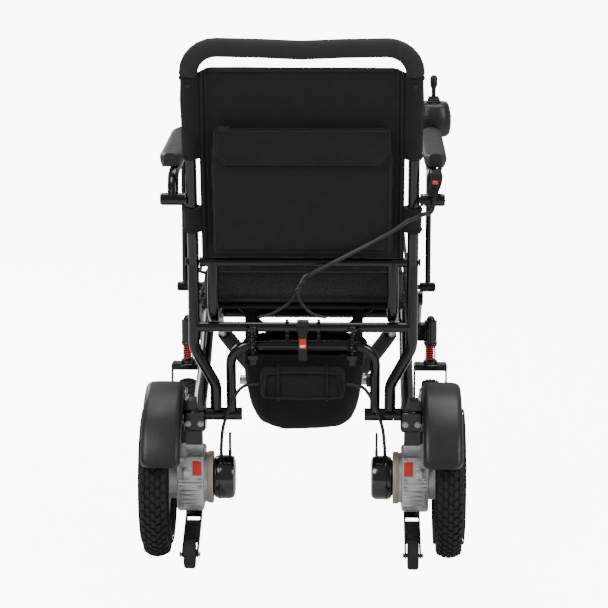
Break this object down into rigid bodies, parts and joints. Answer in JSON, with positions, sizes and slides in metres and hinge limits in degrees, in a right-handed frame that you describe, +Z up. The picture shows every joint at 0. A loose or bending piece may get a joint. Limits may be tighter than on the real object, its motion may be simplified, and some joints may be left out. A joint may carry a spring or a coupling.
{
  "type": "folding power wheelchair",
  "caption": "Compact folding power wheelchair with sling back, armrests, joystick control, drive wheels and sprung front casters.",
  "frame": {"origin": "on the ground, below the middle of the chair's bounding box", "axes": "+Z up, +Y towards the front of the chair, +X to the right seen from behind"},
  "size_m": [0.602, 1.011, 0.99],
  "materials": {
    "black_frame": "gloss",
    "silver_alloy": "satin",
    "hanger_silver": "satin",
    "black_plastic": "gloss",
    "grey_plastic": "satin",
    "tyre_rubber": "matte",
    "pad_rubber": "matte",
    "grip_foam": "matte",
    "black_fabric": "matte",
    "spring_red": "gloss",
    "cable_black": "satin"
  },
  "bodies": {
    "chassis": {"rear_frame": "black_frame", "footrest_hanger": "hanger_silver", "gearbox_left": "silver_alloy", "gearbox_right": "silver_alloy", "motor_cover_left": "black_plastic", "motor_cover_right": "black_plastic", "fender_left": "grey_plastic", "fender_right": "grey_plastic", "antitip_arm_left": "black_frame", "antitip_arm_right": "black_frame"},
    "link": {"link_frame": "black_frame", "cable_wrap": "black_fabric", "buffer_bolt_left": "silver_alloy", "buffer_bolt_right": "silver_alloy", "buffer_spring_left": "black_frame", "buffer_spring_right": "black_frame"},
    "back": {"back_frame": "black_frame", "push_bar_grip": "grip_foam", "back_sling": "black_fabric", "back_pocket": "black_fabric", "joystick_cable": "cable_black"},
    "flap": {"pocket_flap": "black_fabric"},
    "latch": {"latch_hook": "black_plastic"},
    "seat": {"seat_frame": "black_frame", "seat_sling": "black_fabric", "seat_cushion": "black_fabric", "under_seat_bag": "black_fabric", "battery_pack": "black_plastic"},
    "front": {"front_frame": "black_frame", "strut_spring_left": "spring_red", "strut_spring_right": "spring_red"},
    "footplate_body": {"footplate": "black_plastic"},
    "joystick_x_body": {"joystick_gimbal": "black_plastic"},
    "joystick_y_body": {"joystick_knob": "black_plastic"},
    "collar_left": {"arm_collar_left": "black_frame"},
    "armrest_left": {"armrest_frame_left": "black_frame", "armrest_pad_left": "pad_rubber"},
    "post_left": {"armrest_post_left": "black_frame"},
    "wheel_left": {"rear_tyre_left": "tyre_rubber", "rear_rim_left": "silver_alloy"},
    "antitip_left": {"antitip_wheel_left": "tyre_rubber"},
    "lever_left": {"freewheel_lever_left": "black_plastic"},
    "stem_left": {"caster_stem_left": "black_frame"},
    "fork_left": {"caster_fork_left": "black_frame"},
    "caster_left": {"caster_tyre_left": "tyre_rubber", "caster_rim_left": "silver_alloy"},
    "collar_right": {"arm_collar_right": "black_frame"},
    "armrest_right": {"armrest_frame_right": "black_frame", "armrest_pad_right": "pad_rubber", "joystick_box": "grey_plastic"},
    "post_right": {"armrest_post_right": "black_frame"},
    "wheel_right": {"rear_tyre_right": "tyre_rubber", "rear_rim_right": "silver_alloy"},
    "antitip_right": {"antitip_wheel_right": "tyre_rubber"},
    "lever_right": {"freewheel_lever_right": "black_plastic"},
    "stem_right": {"caster_stem_right": "black_frame"},
    "fork_right": {"caster_fork_right": "black_frame"},
    "caster_right": {"caster_tyre_right": "tyre_rubber", "caster_rim_right": "silver_alloy"}
  },
  "joints": [
    {"name": "fold", "type": "hinge", "parent": "chassis", "child": "link", "pos_m": [0, -0.3145, 0.272], "axis": [1, 0, 0], "range_deg": [0, 54]},
    {"name": "back_fold", "type": "hinge", "parent": "link", "child": "back", "pos_m": [0, -0.3445, 0.445], "axis": [1, 0, 0], "range_deg": [-122.03, 0]},
    {"name": "seat_fold", "type": "hinge", "parent": "back", "child": "seat", "pos_m": [0, -0.3445, 0.567], "axis": [1, 0, 0], "range_deg": [0, 88.03]},
    {"name": "front_fold", "type": "hinge", "parent": "chassis", "child": "front", "pos_m": [0, 0.0855, 0.41], "axis": [1, 0, 0], "range_deg": [-38.05, 0]},
    {"name": "latch_turn", "type": "hinge", "parent": "back", "child": "latch", "pos_m": [0, -0.3445, 0.445], "axis": [1, 0, 0], "range_deg": [-35, 0]},
    {"name": "pocket_flap_lift", "type": "hinge", "parent": "back", "child": "flap", "pos_m": [0, -0.44522, 0.83044], "axis": [1, 0, 0], "range_deg": [-150, 0]},
    {"name": "footplate_flip", "type": "hinge", "parent": "chassis", "child": "footplate_body", "pos_m": [0, 0.3655, 0.171], "axis": [1, 0, 0], "range_deg": [0, 90]},
    {"name": "arm_fold_left", "type": "hinge", "parent": "back", "child": "collar_left", "pos_m": [-0.2155, -0.37948, 0.68898], "axis": [1, 0, 0], "range_deg": [0, 88.03]},
    {"name": "armrest_flip_left", "type": "hinge", "parent": "collar_left", "child": "armrest_left", "pos_m": [-0.234, -0.37948, 0.68898], "axis": [1, 0, 0], "range_deg": [0, 100]},
    {"name": "post_fold_left", "type": "hinge", "parent": "seat", "child": "post_left", "pos_m": [-0.238, -0.0245, 0.455], "axis": [1, 0, 0], "range_deg": [0, 66.05]},
    {"name": "wheel_spin_left", "type": "hinge", "parent": "chassis", "child": "wheel_left", "pos_m": [-0.272, -0.3145, 0.1525], "axis": [1, 0, 0], "continuous": true},
    {"name": "antitip_spin_left", "type": "hinge", "parent": "chassis", "child": "antitip_left", "pos_m": [-0.203, -0.4795, 0.05], "axis": [1, 0, 0], "continuous": true},
    {"name": "freewheel_left", "type": "hinge", "parent": "chassis", "child": "lever_left", "pos_m": [-0.137, -0.3145, 0.1972], "axis": [1, 0, 0], "range_deg": [0, 60]},
    {"name": "strut_travel_left", "type": "slide", "parent": "front", "child": "stem_left", "axis": [0, 0, 1], "range_m": [0, 0.01], "stiffness_N_per_m": 6000, "deforming": ["strut_spring_left"]},
    {"name": "caster_swivel_left", "type": "hinge", "parent": "stem_left", "child": "fork_left", "pos_m": [-0.254, 0.2855, 0.22], "axis": [0, 0, 1], "continuous": true},
    {"name": "caster_spin_left", "type": "hinge", "parent": "fork_left", "child": "caster_left", "pos_m": [-0.254, 0.2505, 0.1], "axis": [1, 0, 0], "continuous": true},
    {"name": "arm_fold_right", "type": "hinge", "parent": "back", "child": "collar_right", "pos_m": [0.2155, -0.37948, 0.68898], "axis": [1, 0, 0], "range_deg": [0, 88.03]},
    {"name": "armrest_flip_right", "type": "hinge", "parent": "collar_right", "child": "armrest_right", "pos_m": [0.234, -0.37948, 0.68898], "axis": [1, 0, 0], "range_deg": [0, 100]},
    {"name": "post_fold_right", "type": "hinge", "parent": "seat", "child": "post_right", "pos_m": [0.238, -0.0245, 0.455], "axis": [1, 0, 0], "range_deg": [0, 66.05]},
    {"name": "wheel_spin_right", "type": "hinge", "parent": "chassis", "child": "wheel_right", "pos_m": [0.272, -0.3145, 0.1525], "axis": [1, 0, 0], "continuous": true},
    {"name": "antitip_spin_right", "type": "hinge", "parent": "chassis", "child": "antitip_right", "pos_m": [0.203, -0.4795, 0.05], "axis": [1, 0, 0], "continuous": true},
    {"name": "freewheel_right", "type": "hinge", "parent": "chassis", "child": "lever_right", "pos_m": [0.137, -0.3145, 0.1972], "axis": [1, 0, 0], "range_deg": [0, 60]},
    {"name": "strut_travel_right", "type": "slide", "parent": "front", "child": "stem_right", "axis": [0, 0, 1], "range_m": [0, 0.01], "stiffness_N_per_m": 6000, "deforming": ["strut_spring_right"]},
    {"name": "caster_swivel_right", "type": "hinge", "parent": "stem_right", "child": "fork_right", "pos_m": [0.254, 0.2855, 0.22], "axis": [0, 0, 1], "continuous": true},
    {"name": "caster_spin_right", "type": "hinge", "parent": "fork_right", "child": "caster_right", "pos_m": [0.254, 0.2505, 0.1], "axis": [1, 0, 0], "continuous": true},
    {"name": "joystick_x", "type": "hinge", "parent": "armrest_right", "child": "joystick_x_body", "pos_m": [0.2475, 0.0375, 0.812], "axis": [0, 1, 0], "range_deg": [-20, 20], "stiffness_Nm_per_rad": 0.1},
    {"name": "joystick_y", "type": "hinge", "parent": "joystick_x_body", "child": "joystick_y_body", "pos_m": [0.2475, 0.0375, 0.812], "axis": [1, 0, 0], "range_deg": [-20, 20], "stiffness_Nm_per_rad": 0.1}
  ],
  "couplings": [
    {"joint": "back_fold", "follows": "fold", "ratio": -2.2589},
    {"joint": "seat_fold", "follows": "fold", "ratio": 1.6293},
    {"joint": "front_fold", "follows": "fold", "ratio": -0.7037},
    {"joint": "arm_fold_left", "follows": "fold", "ratio": 1.6293},
    {"joint": "post_fold_left", "follows": "fold", "ratio": 1.2222},
    {"joint": "arm_fold_right", "follows": "fold", "ratio": 1.6293},
    {"joint": "post_fold_right", "follows": "fold", "ratio": 1.2222}
  ]
}
